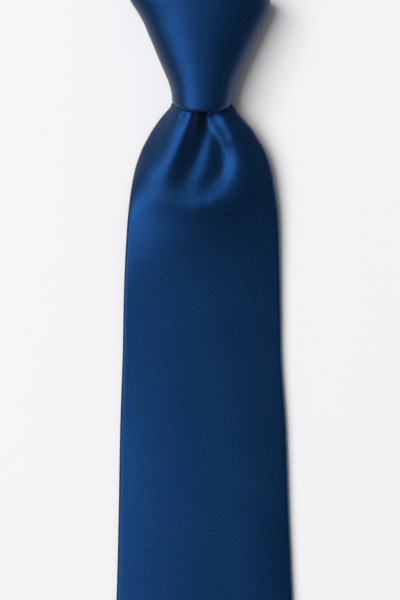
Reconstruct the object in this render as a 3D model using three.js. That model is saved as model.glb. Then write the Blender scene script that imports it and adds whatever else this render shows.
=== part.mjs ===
// A tied necktie lying face up on a flat surface, in millimetres. +X is to the right of the tie as seen
// from its face, +Y runs from the blade's tip to the neck loop, +Z is up, off the surface. Positions are
// first worked out from the knot's mouth, where the front blade leaves the knot, and LAYOUT_SHIFT then
// moves everything so that the origin is below the middle of the whole tie.
//
// Every blade and band is a folded envelope: one wall of satin folded round a strip of interlining, its two
// flaps overlapping along the middle of the back.
import * as THREE from 'three';

// ---- Driving dimensions -----------------------------------------------------------------------------------

const BLADE_WIDTH = 82.5; // across the shoulders of the front blade's tip, a 3 1/4 inch tie
const BLADE_TAPER = 0.062; // how much wider the blade gets for each millimetre down its length
const BLADE_TOP_WIDTH = 60; // what the taper would give at the knot if the knot didn't pinch the blade
const BLADE_PINCH = 0.53; // share of that width that the knot's mouth takes away
const PINCH_REACH = 14.6; // how far down the pinch spreads
const PINCH_POWER = 1.2;

const TAIL_WIDTH = 38; // across the shoulders of the tail's tip
const TAIL_SHOULDER = 330; // from the knot's mouth down to those shoulders
const TAIL_SPREAD_WIDTH = 27; // where the tail has spread flat again under the knot
const TAIL_GATHERED_WIDTH = 15; // where the knot grips it

const KNOT_LENGTH = 46;
const KNOT_MOUTH_HALF = 11.4;
const KNOT_FLARE = 0.42; // half-width gained for each millimetre up the knot

const LOOP_TOP = 212; // from the mouth up to the middle of the neck loop's crown
const LOOP_REACH = 59; // from the middle line out to the loop's widest point
const BAND_WIDTH_LEFT = 33; // the neckband at its blade side
const BAND_WIDTH_RIGHT = 30; // and at its tail side

const THICK = 2.6; // a finished blade or band, over all its layers
const WALL = 0.4; // the satin
const LAYER_GAP = 0.2;
const SEAM_OVERLAP = 4; // how far each back flap passes the middle
const HEM = 10; // the satin turned under along a tip's edges
const SKIN = 0.4; // tipping and labels
const SPLIT = 0.3; // half the gap between two lengths of one strip that move apart
const WRAP_WALL = 2; // the knot's outer wrap, a folded blade pulled tight

const BLADE_HINGE = -10; // where the front blade lifts
const FOLD_HINGE = -210; // where it folds
const TAIL_HINGE = -62; // where the tail swings back
const LOOP_HINGE = 62; // where the neck loop tilts

// ---- Colours ----------------------------------------------------------------------------------------------

const cloth = (color, roughness) => new THREE.MeshStandardMaterial({ color, roughness, metalness: 0 });
const satin = cloth(0x12365f, 0.4);
const lining = cloth(0x0f2c50, 0.55);
const wool = cloth(0xd9d4c6, 0.95);
const thread = cloth(0x1b3f6d, 0.7);
const labelCloth = cloth(0x9aa3b0, 0.6);
const careCloth = cloth(0xeceae4, 0.8);

// ---- Small helpers ----------------------------------------------------------------------------------------

const { clamp, lerp, smoothstep } = THREE.MathUtils;
const V2 = (u, v) => new THREE.Vector2(u, v);
const spread = (from, to, count) => Array.from({ length: count }, (_, i) => lerp(from, to, i / (count - 1)));

const tie = new THREE.Group();

function addPart(name, geometry, material) {
  const mesh = new THREE.Mesh(geometry, material);
  mesh.name = name;
  tie.add(mesh);
}

// A closed solid skinned over sections. Each section's outline is a ladder: the first half of its points
// runs along one side and the second half comes back along the other, so the two ends are closed rung by
// rung.
function loft(sections) {
  const count = sections[0].length;
  const points = sections.flat();
  const faces = [];
  const quad = (a, b, c, d) => faces.push([a, b, c], [a, c, d]);
  // The second rail's faces are split the other way, so that both rails' faces stay parallel.
  const rail = count / 2;
  for (let row = 0; row < sections.length - 1; row++) {
    for (let i = 0; i < count; i++) {
      const next = (i + 1) % count;
      const [here, beyond] = [row * count, (row + 1) * count];
      if (i < rail) quad(here + i, here + next, beyond + next, beyond + i);
      else quad(here + next, beyond + next, beyond + i, here + i);
    }
  }
  const last = (sections.length - 1) * count;
  for (let i = 0; i < rail - 1; i++) {
    quad(count - 1 - i, count - 2 - i, i + 1, i);
    quad(last + i, last + i + 1, last + count - 2 - i, last + count - 1 - i);
  }
  const volume = faces.reduce((sum, f) => {
    const [a, b, c] = f.map((i) => points[i]);
    return sum + a.dot(b.clone().cross(c));
  }, 0);
  if (volume < 0) faces.forEach((f) => f.reverse());
  const geometry = new THREE.BufferGeometry().setFromPoints(points);
  geometry.setIndex(faces.flat());
  geometry.computeVertexNormals();
  return geometry;
}

// Turns a polyline into the outline of a wall of the given thickness, on both sides of the line.
function wallOutline(line, wall) {
  const normals = line.map((_, i) => {
    const before = line[Math.max(i - 1, 0)];
    const after = line[Math.min(i + 1, line.length - 1)];
    const along = after.clone().sub(before).normalize();
    return V2(along.y, -along.x);
  });
  const side = (distance) => line.map((p, i) => p.clone().addScaledVector(normals[i], distance));
  return [...side(wall / 2), ...side(-wall / 2).reverse()];
}

// A rectangle with cut corners, with extra points along its long sides so that it can be bent.
function padOutline(left, right, low, high, across = 2) {
  const cut = Math.min((high - low) * 0.3, (right - left) * 0.2);
  const along = spread(left + cut, right - cut, across);
  const side = (edge, middle) => [V2(left, middle), ...along.map((u) => V2(u, edge)), V2(right, middle)];
  return [...side(low, low + cut), ...side(high, high - cut).reverse()];
}

// ---- The folded envelope ----------------------------------------------------------------------------------

const FOLD_RADIUS = (THICK - WALL) / 2; // of the wall's middle line round each edge
const FOLD_INSET = WALL / 2 + FOLD_RADIUS; // from a finished edge to where that fold starts

// The wall of an envelope in its own section, u across and v up from the envelope's back. flap is the
// length of each back flap from its finished edge, and where the flaps overlap, the left one rises to lie
// inside the right one.
function envelopeOutline(width, flap, across) {
  const edge = width / 2;
  const flapPoints = Math.ceil(across / 2);
  const start = edge - FOLD_INSET;
  const overlap = Math.max(flap - edge, 0);
  const rise = (WALL + LAYER_GAP) * clamp(overlap / SEAM_OVERLAP, 0, 1);
  const innerEnd = Math.max(flap - edge, -start + 0.2);
  const outerEnd = Math.min(edge - flap, start - 0.2);
  const back = WALL / 2;
  const raisedTo = Math.min(lerp(innerEnd, -start, 0.5), -overlap - 0.5);
  const leftFlap = [
    ...spread(innerEnd, raisedTo, flapPoints).map((u) => V2(u, back + rise)),
    V2(lerp(raisedTo, -start, 0.5), back + rise / 2),
    V2(-start, back),
  ];
  const fold = (side, from, to) =>
    spread(from, to, 3).map((angle) =>
      V2(side * start + FOLD_RADIUS * Math.cos(angle), THICK / 2 + FOLD_RADIUS * Math.sin(angle)),
    );
  const leftFold = fold(-1, Math.PI * 1.25, Math.PI * 0.75);
  const face = spread(-start, start, across).map((u) => V2(u, THICK - WALL / 2));
  const rightFold = fold(1, Math.PI * 0.25, -Math.PI * 0.25);
  const rightFlap = spread(start, outerEnd, flapPoints + 2).map((u) => V2(u, back));
  return wallOutline([...leftFlap, ...leftFold, ...face, ...rightFold, ...rightFlap], WALL);
}

// The strip of interlining inside such an envelope.
function interliningOutline(width, across, spare = 0) {
  const edge = Math.max(width / 2 - FOLD_INSET - spare, 0.4);
  const low = 2 * (WALL + LAYER_GAP) + spare;
  return padOutline(-edge, edge, low, THICK - WALL - LAYER_GAP - spare, across);
}

const fullFlap = (width) => width / 2 + SEAM_OVERLAP;

// ---- Front blade ------------------------------------------------------------------------------------------

const BLADE_SHOULDER = (BLADE_WIDTH - BLADE_TOP_WIDTH) / BLADE_TAPER;
const BLADE_TIP = BLADE_SHOULDER + BLADE_WIDTH / 2; // its edges meet at a right angle
const BLADE_BAR_TACK = BLADE_TIP - 138; // where the back flaps start to part
const TIP_FLAT = 4; // width left at the very point

// Finished width at a distance below the mouth.
function bladeWidth(down) {
  if (down > BLADE_SHOULDER) return Math.max(2 * (BLADE_TIP - down), TIP_FLAT);
  const pinch = BLADE_PINCH * Math.exp(-((Math.max(down, 0) / PINCH_REACH) ** PINCH_POWER));
  return (BLADE_TOP_WIDTH + BLADE_TAPER * down) * (1 - pinch);
}

// The blade's back arches over the tail, and lies down flat at its tip: its height at the middle and at the
// edges.
const bladeMiddleHeight = (down) =>
  (6 + 4.6 * Math.exp(-down / 38)) * (1 - 0.85 * smoothstep(down, 352, BLADE_TIP));
const bladeEdgeHeight = (down) => 4.4 * Math.exp(-down / 13) * smoothstep(60 - down, 0, 60);

function bladeArch(down, u) {
  const share = clamp((2 * u) / bladeWidth(down), -1, 1);
  return lerp(bladeMiddleHeight(down), bladeEdgeHeight(down), share * share);
}

// Sections of something that lies in the front blade, each outline bent over the arch.
function bladeSections(distances, outlineAt) {
  return distances.map((down) =>
    outlineAt(down).map((p) => new THREE.Vector3(p.x, -down, p.y + bladeArch(down, p.x))),
  );
}

// The back flaps reach past the middle down to the bar tack, part below it, and end as a hem along the point.
function bladeFlap(down) {
  const half = bladeWidth(down) / 2;
  const parting = clamp((down - BLADE_BAR_TACK) / (BLADE_SHOULDER - BLADE_BAR_TACK), 0, 1);
  return lerp(half + SEAM_OVERLAP, Math.min(HEM * Math.SQRT2, half - 0.2), parting);
}

const ACROSS_BLADE = 10;
const ACROSS_PADDING = 10;
const ACROSS_BAND = 5;

function addFrontBlade() {
  const upper = [-BLADE_HINGE + SPLIT, 14, 20, 28, 40, 58, 90, 130, -FOLD_HINGE - SPLIT];
  const lower = [
    -FOLD_HINGE + SPLIT, 238, BLADE_BAR_TACK, 281, 315,
    BLADE_SHOULDER, 380, 394, BLADE_TIP - TIP_FLAT / 2,
  ];
  const shell = (down) => envelopeOutline(bladeWidth(down), bladeFlap(down), ACROSS_BLADE);
  const padding = (down) => interliningOutline(bladeWidth(down), ACROSS_PADDING);
  const paddingEnd = BLADE_TIP - 10;
  addPart('blade_shell_upper', loft(bladeSections(upper, shell)), satin);
  addPart('blade_interlining_upper', loft(bladeSections(upper, padding)), wool);
  addPart('blade_shell_lower', loft(bladeSections(lower, shell)), satin);
  addPart('blade_interlining_lower', loft(bladeSections([...lower.slice(0, -2), paddingEnd], padding)), wool);
  addBladeTrims();
}

// Tipping, bar tack, keeper loop and label on the blade's back.
function addBladeTrims() {
  const skinLow = WALL + LAYER_GAP;
  const tippingHalf = (down) => {
    const half = bladeWidth(down) / 2;
    const opening = half - bladeFlap(down) + HEM / 2;
    return Math.max(Math.min(opening, half - FOLD_INSET), 0.8);
  };
  const tippingSpan = [BLADE_BAR_TACK + 22, 315, BLADE_SHOULDER, 380, BLADE_TIP - 10];
  const tipping = (down) =>
    padOutline(-tippingHalf(down), tippingHalf(down), skinLow, skinLow + SKIN, ACROSS_PADDING);
  addPart('blade_tipping', loft(bladeSections(tippingSpan, tipping)), lining);

  // Bands laid across the back, hanging a layer gap under it.
  const under = (half, depth, thick) => () => padOutline(-half, half, -depth - thick, -depth, ACROSS_PADDING);
  const across = (name, from, to, half, depth, thick, material) =>
    addPart(name, loft(bladeSections([from, (from + to) / 2, to], under(half, depth, thick))), material);
  across('blade_bar_tack', BLADE_BAR_TACK - 5, BLADE_BAR_TACK - 3, 6, LAYER_GAP, 0.6, thread);
  across('brand_label', 216, 240, 27, LAYER_GAP, SKIN, labelCloth);
  across('care_label', 243, 259, 9, LAYER_GAP, SKIN, careCloth);
  across('keeper_loop', 190, 202, 25, LAYER_GAP, 0.8, satin);
  const seamEnd = BLADE_BAR_TACK - 7;
  const stitch = () => padOutline(-SEAM_OVERLAP - 0.9, -SEAM_OVERLAP - 0.5, -0.05, WALL - 0.05, 2);
  addPart('blade_slip_stitch', loft(bladeSections([244, (244 + seamEnd) / 2, seamEnd], stitch)), thread);
}

// ---- Knot -------------------------------------------------------------------------------------------------

const TAIL_LEVEL = 3; // height of the tail's back where it runs through the knot
const BAND_LEVEL = TAIL_LEVEL + THICK + 0.4; // and of the neckband's left end, which crosses over it
const knotHalf = (y) => KNOT_MOUTH_HALF + KNOT_FLARE * y;
const knotMiddle = (y) => 8 + 0.06 * y; // height of the knot's widest line
const knotFront = (y) => 17 + 0.08 * y;

const FRONT_ROUNDNESS = 2.3; // superellipse powers: the front is round, the back nearly flat
const BACK_ROUNDNESS = 5;
const WRAP_END = THREE.MathUtils.degToRad(68); // how far round the back the wrap's ends reach

function wrapPoint(angle, half, middle, front, back) {
  const c = Math.cos(angle);
  const s = Math.sin(angle);
  const power = 2 / (s > 0 ? FRONT_ROUNDNESS : BACK_ROUNDNESS);
  return V2(
    half * Math.sign(c) * Math.abs(c) ** power,
    middle + (s > 0 ? front : back) * Math.sign(s) * Math.abs(s) ** power,
  );
}

// The last wrap goes round the front and both sides, and its lower and upper edges bow away from the knot.
function addFrontWrap() {
  const angles = spread(-WRAP_END, Math.PI + WRAP_END, 19);
  const section = (y, bow) => {
    const half = knotHalf(y);
    const ring = (inset) =>
      angles.map((a) =>
        wrapPoint(a, half - inset, knotMiddle(y), knotFront(y) - knotMiddle(y) - inset, knotMiddle(y) - inset),
      );
    return [...ring(0), ...ring(WRAP_WALL).reverse()].map((p) => {
      const share = p.x / half;
      return new THREE.Vector3(p.x, y + bow * share * share, p.y);
    });
  };
  const rows = [
    [KNOT_LENGTH, -1.5],
    [KNOT_LENGTH * 0.7, -0.5],
    [KNOT_LENGTH * 0.4, 0.5],
    [KNOT_LENGTH * 0.15, 2],
    [0, 3.2],
  ];
  addPart('knot_front_wrap', loft(rows.map(([y, bow]) => section(y, bow))), satin);
}

// Straight layers inside the knot, each a bent pad between a lower and an upper height.
function layer(name, rows, material = satin) {
  const sections = rows.map(([y, left, right, low, high, crown = 0]) => {
    const middle = (left + right) / 2;
    const half = (right - left) / 2;
    return padOutline(left, right, low, high, 4).map((p) => {
      const share = (p.x - middle) / half;
      return new THREE.Vector3(p.x, y, p.y - crown * share * share);
    });
  });
  addPart(name, loft(sections), material);
}

function addKnot() {
  addFrontWrap();
  const clear = 1.2;
  const backHalf = (y) => 0.675 * (knotHalf(y) - WRAP_WALL) - clear;
  layer('knot_back_wrap', [
    [KNOT_LENGTH - 1, -backHalf(KNOT_LENGTH), backHalf(KNOT_LENGTH), 0, WRAP_WALL],
    [4, -backHalf(4), backHalf(4), 0, WRAP_WALL],
  ]);
  const core = 7;
  layer('knot_inner_pass', [
    [20, -core - 1, core + 1, BAND_LEVEL, BAND_LEVEL + 2.4],
    [3, -core, core, BAND_LEVEL, BAND_LEVEL + 1.8],
  ]);

  // Two diagonal passes, one beside each arm of the loop, rolled over at the knot's top.
  const wingOuter = (y) => knotHalf(y) - WRAP_WALL - 3;
  const wingTop = (y) => 12.9 - 0.065 * (KNOT_LENGTH - y);
  const wing = (name, side, inner, low) => {
    const rows = [
      [50.5, 2.5, 1.4, -2.6],
      [48.5, 0.8, 0.4, -0.6],
      [KNOT_LENGTH, 0, 0, 0],
      [34, 0, 0, 0],
      [22, 0, 0, 0],
    ].map(([y, inset, lift, drop]) => {
      const outer = wingOuter(Math.min(y, KNOT_LENGTH)) - inset;
      const near = inner + inset;
      const edges = side < 0 ? [-outer, -near] : [near, outer];
      return [y, ...edges, low + lift, wingTop(Math.min(y, KNOT_LENGTH)) + drop];
    });
    layer(name, rows);
  };
  wing('knot_left_wing', -1, 0.6, BAND_LEVEL + THICK + 0.4);
  wing('knot_right_wing', 1, 7.8, TAIL_LEVEL + THICK + 0.4);

  addThroat();
  addLeftBandEnd();
}

// The blade's last pass: over the top of the knot, down behind the wrap and out of the mouth, where it fans
// out.
function addThroat() {
  const gap = 0.4;
  const insideTop = 13.4;
  layer('blade_throat', [
    [50.2, -10, 10, insideTop - 0.2, insideTop + THICK - 0.8, 0.6],
    [KNOT_LENGTH, -14, 14, insideTop + gap, insideTop + gap + THICK, 0.6],
    [30, -11, 11, insideTop, insideTop + THICK, 0.8],
    [14, -9, 9, 12, 12 + THICK, 1.2],
    [4.2, -8, 8, bladeMiddleHeight(0), bladeMiddleHeight(0) + THICK, 1.8],
    [2, -9, 9, bladeMiddleHeight(0), bladeMiddleHeight(0) + THICK, 2.4],
    ...[0.5, 4, BLADE_HINGE * -1 - SPLIT].map((down) => {
      const half = bladeWidth(down) / 2;
      const middle = bladeMiddleHeight(down);
      return [-down, -half, half, middle, middle + THICK, middle - bladeEdgeHeight(down)];
    }),
  ]);
}

// ---- Neck loop --------------------------------------------------------------------------------------------

const bandCentre = (y) =>
  9 * smoothstep(y, 18, KNOT_LENGTH) + 10 * clamp((y - 40) / (LOOP_HINGE - 40), 0, 1) ** 1.6;

// The neckband's left end is caught in the knot, over the tail, and stays clear above it as far as the loop.
function addLeftBandEnd() {
  const ys = [LOOP_HINGE - SPLIT, 58, 52, KNOT_LENGTH, 36, 24];
  const sections = ys.map((y) => {
    const width = lerp(15, BAND_WIDTH_LEFT - 4, smoothstep(y, 20, LOOP_HINGE));
    return envelopeOutline(width, fullFlap(width), 3).map(
      (p) => new THREE.Vector3(p.x - bandCentre(y), y, p.y + BAND_LEVEL),
    );
  });
  addPart('left_band_end', loft(sections), satin);
}

const loopPath = (() => {
  const right = [
    [bandCentre(LOOP_HINGE), LOOP_HINGE],
    [31, 83],
    [46, 110],
    [56, 138],
    [LOOP_REACH - 2, 166],
    [46, 192],
    [25, 207],
  ];
  const left = right.map(([x, y]) => [-x, y]);
  const points = [...left, [0, LOOP_TOP], ...right.reverse()];
  return new THREE.CatmullRomCurve3(points.map(([x, y]) => new THREE.Vector3(x, y, 0)));
})();
loopPath.arcLengthDivisions = 400;
const LOOP_LENGTH = loopPath.getLength();

// Where the band lies flat near the knot and stands on its outer edge round the crown.
function bandFrame(share) {
  const s = clamp(share, 0, 1);
  const fromHinge = Math.min(s, 1 - s);
  const straight = new THREE.Vector3(0, s < 0.5 ? 1 : -1, 0);
  const heading = loopPath.getTangentAt(s).lerp(straight, 1 - smoothstep(fromHinge, 0, 0.09)).normalize();
  const outward = new THREE.Vector3(-heading.y, heading.x, 0);
  const roll = THREE.MathUtils.degToRad(84) * smoothstep(fromHinge, 0.01, 0.36);
  const up = new THREE.Vector3(0, 0, 1);
  const across = outward.clone().multiplyScalar(Math.cos(roll)).addScaledVector(up, -Math.sin(roll));
  const normal = outward.clone().multiplyScalar(Math.sin(roll)).addScaledVector(up, Math.cos(roll));
  const origin = loopPath.getPointAt(s);
  const level = s < 0.5 ? BAND_LEVEL : TAIL_LEVEL;
  origin.z = level * (1 - smoothstep(fromHinge, 0, 0.15)) + (Math.sin(roll) * bandWidth(s)) / 2;
  return { origin, across, normal };
}

function bandWidth(share) {
  const nearKnot = 4 * (1 - smoothstep(Math.min(share, 1 - share), 0, 0.12));
  return lerp(BAND_WIDTH_LEFT, BAND_WIDTH_RIGHT, share) - nearKnot;
}

// A section across the band. A skewed one is cut on the bias, at 45 degrees, as a piecing seam is.
function bandSection(share, outline, skew = 0) {
  return outline.map((p) => {
    const { origin, across, normal } = bandFrame(share + (skew * p.x) / LOOP_LENGTH);
    return origin.addScaledVector(across, p.x).addScaledVector(normal, p.y);
  });
}

function addBand(side, from, to, seamFrom, seamTo, sections) {
  const skewNear = (seam, distance) => seam * clamp(1 - distance / 45, 0, 1);
  const skewAt = (s) => skewNear(seamFrom, (s - from) * LOOP_LENGTH) + skewNear(seamTo, (to - s) * LOOP_LENGTH);
  const shares = spread(from, to, sections);
  const build = (outlineAt) => loft(shares.map((s) => bandSection(s, outlineAt(bandWidth(s)), skewAt(s))));
  addPart(`${side}_band_shell`, build((w) => envelopeOutline(w, fullFlap(w), ACROSS_BAND)), satin);
  addPart(`${side}_band_interlining`, build((w) => interliningOutline(w, ACROSS_BAND, 0.22)), wool);
}

function addNeckLoop() {
  const hinge = SPLIT / LOOP_LENGTH;
  const seam = 0.3 / LOOP_LENGTH;
  const leftSeam = 0.27;
  const rightSeam = 0.72;
  addBand('left', hinge, leftSeam - seam, 0, -1, 14);
  addBand('crown', leftSeam + seam, rightSeam - seam, -1, 1, 15);
  addBand('right', rightSeam + seam, 1 - hinge, 1, 0, 12);
}

// ---- Tail -------------------------------------------------------------------------------------------------

const TAIL_TIP = TAIL_SHOULDER + TAIL_WIDTH / 2;
const TAIL_BAR_TACK = TAIL_TIP - 75;

function tailWidth(y) {
  const down = -y;
  if (down > TAIL_SHOULDER) return Math.max(2 * (TAIL_TIP - down), TIP_FLAT);
  if (y > 0) return lerp(TAIL_GATHERED_WIDTH, BAND_WIDTH_RIGHT - 4, smoothstep(y, 18, LOOP_HINGE));
  const spreadOut = smoothstep(down, -TAIL_HINGE, -TAIL_HINGE + 30);
  const flat = lerp(TAIL_SPREAD_WIDTH, TAIL_WIDTH, clamp((down - 80) / (TAIL_SHOULDER - 80), 0, 1));
  return lerp(TAIL_GATHERED_WIDTH, flat, spreadOut);
}

const tailLevel = (y) => TAIL_LEVEL * (1 - smoothstep(-y, -TAIL_HINGE, -TAIL_HINGE + 34));

function tailFlap(y) {
  const half = tailWidth(y) / 2;
  const parting = clamp((-y - TAIL_BAR_TACK) / (TAIL_SHOULDER - TAIL_BAR_TACK), 0, 1);
  return lerp(half + SEAM_OVERLAP, Math.min(HEM * 0.7, half), parting);
}

function tailSections(ys, outlineAt) {
  return ys.map((y) => outlineAt(y).map((p) => new THREE.Vector3(p.x + bandCentre(y), y, p.y + tailLevel(y))));
}

function addTail() {
  const shell = (y) => envelopeOutline(tailWidth(y), tailFlap(y), 3);
  const padding = (y) => interliningOutline(tailWidth(y), 2);
  const upper = [LOOP_HINGE - SPLIT, 58, 52, KNOT_LENGTH, 36, 26, 18, TAIL_HINGE + SPLIT];
  const lower = [
    TAIL_HINGE - SPLIT, -70, -78, -86, -96, -180,
    -TAIL_BAR_TACK, -290, -310, -TAIL_SHOULDER, -342,
  ];
  const tip = -TAIL_TIP + TIP_FLAT / 2;
  addPart('tail_shell_upper', loft(tailSections(upper, shell)), satin);
  addPart('tail_interlining_upper', loft(tailSections(upper, padding)), wool);
  addPart('tail_shell_lower', loft(tailSections([...lower, tip], shell)), satin);
  addPart('tail_interlining_lower', loft(tailSections([...lower, -TAIL_TIP + 5], padding)), wool);

  const skinLow = WALL + LAYER_GAP;
  const tippingHalf = (y) => {
    const half = tailWidth(y) / 2;
    return Math.max(Math.min(half - tailFlap(y) + 3, half - FOLD_INSET), 0.8);
  };
  const tipping = (y) => padOutline(-tippingHalf(y), tippingHalf(y), skinLow, skinLow + SKIN, 2);
  const tippingSpan = [-TAIL_BAR_TACK - 20, -310, -TAIL_SHOULDER, -342];
  addPart('tail_tipping', loft(tailSections(tippingSpan, tipping)), lining);
}

// ---- Assembly ---------------------------------------------------------------------------------------------

addFrontBlade();
addKnot();
addNeckLoop();
addTail();

const LAYOUT_SHIFT = (BLADE_TIP - LOOP_TOP) / 2;
tie.position.set(0, LAYOUT_SHIFT, 0);

export default tie;
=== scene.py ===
"""Looks for a tied satin necktie lying face up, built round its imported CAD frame."""

import math
import bpy
import numpy as np
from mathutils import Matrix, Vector


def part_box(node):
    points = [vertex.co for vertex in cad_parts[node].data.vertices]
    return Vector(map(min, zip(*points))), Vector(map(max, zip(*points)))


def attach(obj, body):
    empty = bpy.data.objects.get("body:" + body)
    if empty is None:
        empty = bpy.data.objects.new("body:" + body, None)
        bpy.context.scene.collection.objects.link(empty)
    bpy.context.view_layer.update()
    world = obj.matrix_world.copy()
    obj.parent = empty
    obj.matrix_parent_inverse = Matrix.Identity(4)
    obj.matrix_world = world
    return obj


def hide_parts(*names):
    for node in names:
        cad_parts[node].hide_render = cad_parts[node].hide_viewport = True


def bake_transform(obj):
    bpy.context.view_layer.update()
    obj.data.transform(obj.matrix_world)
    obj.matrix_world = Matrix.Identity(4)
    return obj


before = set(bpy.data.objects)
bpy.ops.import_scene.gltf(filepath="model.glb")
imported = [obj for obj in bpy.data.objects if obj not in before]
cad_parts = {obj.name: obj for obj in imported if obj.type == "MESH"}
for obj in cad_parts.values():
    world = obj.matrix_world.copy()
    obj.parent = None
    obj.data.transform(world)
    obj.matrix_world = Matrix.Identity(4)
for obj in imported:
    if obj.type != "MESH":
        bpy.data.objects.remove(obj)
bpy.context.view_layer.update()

# ---- Units and places ------------------------------------------------------------------------------------
# Lengths below are in millimetres from the knot's mouth, where the front blade leaves the knot: x to the
# right of the face, y up towards the neck loop, z off the surface. "down" is -y, the distance below it.

MM = 0.001
MOUTH_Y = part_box("knot_front_wrap")[0].y
TIP_CUT = 2.0  # the CAD's tips stop this far short of their points
BLADE_TIP = (MOUTH_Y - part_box("blade_shell_lower")[0].y) / MM + TIP_CUT
TAIL_TIP = (MOUTH_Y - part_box("tail_shell_lower")[0].y) / MM + TIP_CUT
TAIL_WIDTH = (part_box("tail_shell_lower")[1].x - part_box("tail_shell_lower")[0].x) / MM
BLADE_WIDTH = (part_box("blade_shell_lower")[1].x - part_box("blade_shell_lower")[0].x) / MM

THICK = 2.6  # a finished blade or band
WALL = 0.45  # its satin
LAYER_GAP = 0.2  # between two layers of satin
SEAM_OVERLAP = 4.0  # how far each back flap passes the middle of the back
HEM = 14.0  # width of the back flaps beside a tip

FOLD_HINGE, TAIL_HINGE, LOOP_HINGE = -210.0, -62.0, 62.0


def place(points):
    """Millimetres from the mouth to metres in the frame."""
    out = np.asarray(points, float) * MM
    out[..., 1] += MOUTH_Y
    return out


def at(x, y, z):
    return Vector(place([x, y, z]))


def smooth(t, low=0.0, high=1.0):
    t = np.clip((np.asarray(t, float) - low) / (high - low), 0, 1)
    return t * t * (3 - 2 * t)


def stretches(*parts):
    """One run of stations from (start, end, count) parts that follow on from each other."""
    starts = [np.linspace(*part)[:-1] for part in parts[:-1]]
    return np.concatenate([*starts, np.linspace(*parts[-1])])


def table(rows):
    """A smooth function through rows of (key, value, ...), by Hermite cubics with limited slopes."""
    rows = np.asarray(rows, float)
    keys, values = rows[:, 0], rows[:, 1:]
    step = np.diff(keys)[:, None]
    slope = np.diff(values, axis=0) / step
    inner = np.where(
        slope[:-1] * slope[1:] > 0,
        2 * slope[:-1] * slope[1:] / np.where(slope[:-1] + slope[1:] == 0, 1, slope[:-1] + slope[1:]),
        0,
    )
    tangent = np.vstack([slope[:1], inner, slope[-1:]])

    def read(key):
        key = np.clip(np.asarray(key, float), keys[0], keys[-1])
        i = np.clip(np.searchsorted(keys, key, side="right") - 1, 0, len(keys) - 2)
        h = step[i]
        t = ((key - keys[i]) / step[i, 0])[..., None]
        p0, p1, m0, m1 = values[i], values[i + 1], tangent[i] * h, tangent[i + 1] * h
        a = 2 * t**3 - 3 * t**2
        return (a + 1) * p0 + (t**3 - 2 * t**2 + t) * m0 - a * p1 + (t**3 - t**2) * m1

    return read


# ---- Materials -------------------------------------------------------------------------------------------


def new_material(name):
    material = bpy.data.materials.new(name)
    material.use_nodes = True
    tree = material.node_tree
    return material, tree, tree.nodes["Principled BSDF"]


def satin(name, dark, light, gloss_tint, roughness=0.4, yarn=0.55, bias=45.0):
    """Satin weave: long floats of yarn lying one way, with a fine grain and a slow change of tone."""
    material, tree, shader = new_material(name)
    nodes, link = tree.nodes, tree.links.new
    place_in = nodes.new("ShaderNodeTexCoord")
    turn = nodes.new("ShaderNodeMapping")
    turn.inputs["Rotation"].default_value = (0, 0, math.radians(bias))
    turn.inputs["Scale"].default_value = (1000 / yarn, 1000 / (yarn * 1.8), 1)
    link(place_in.outputs["UV"], turn.inputs["Vector"])
    floats = nodes.new("ShaderNodeTexNoise")
    floats.inputs["Scale"].default_value = 1.0
    floats.inputs["Detail"].default_value = 2.0
    link(turn.outputs["Vector"], floats.inputs["Vector"])
    slow = nodes.new("ShaderNodeTexNoise")
    slow.inputs["Scale"].default_value = 45.0
    slow.inputs["Detail"].default_value = 3.0
    link(place_in.outputs["Object"], slow.inputs["Vector"])
    both = nodes.new("ShaderNodeMath")
    both.operation = "MULTIPLY_ADD"
    both.inputs[1].default_value = 0.75
    link(floats.outputs["Fac"], both.inputs[0])
    share = nodes.new("ShaderNodeMath")
    share.operation = "MULTIPLY"
    share.inputs[1].default_value = 0.25
    link(slow.outputs["Fac"], share.inputs[0])
    link(share.outputs[0], both.inputs[2])
    ramp = nodes.new("ShaderNodeValToRGB")
    ramp.color_ramp.elements[0].position = 0.38
    ramp.color_ramp.elements[0].color = (*dark, 1)
    ramp.color_ramp.elements[1].position = 0.62
    ramp.color_ramp.elements[1].color = (*light, 1)
    link(both.outputs[0], ramp.inputs["Fac"])
    link(ramp.outputs["Color"], shader.inputs["Base Color"])
    gloss = nodes.new("ShaderNodeMapRange")
    gloss.inputs["To Min"].default_value = roughness - 0.1
    gloss.inputs["To Max"].default_value = roughness + 0.12
    link(floats.outputs["Fac"], gloss.inputs["Value"])
    link(gloss.outputs["Result"], shader.inputs["Roughness"])
    bump = nodes.new("ShaderNodeBump")
    bump.inputs["Strength"].default_value = 0.5
    bump.inputs["Distance"].default_value = 0.00014
    link(floats.outputs["Fac"], bump.inputs["Height"])
    link(bump.outputs["Normal"], shader.inputs["Normal"])
    shader.inputs["IOR"].default_value = 1.8
    shader.inputs["Specular Tint"].default_value = (*gloss_tint, 1)
    shader.inputs["Sheen Weight"].default_value = 0.04
    shader.inputs["Sheen Roughness"].default_value = 0.35
    shader.inputs["Sheen Tint"].default_value = (0.55, 0.68, 0.9, 1)
    return material


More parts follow.
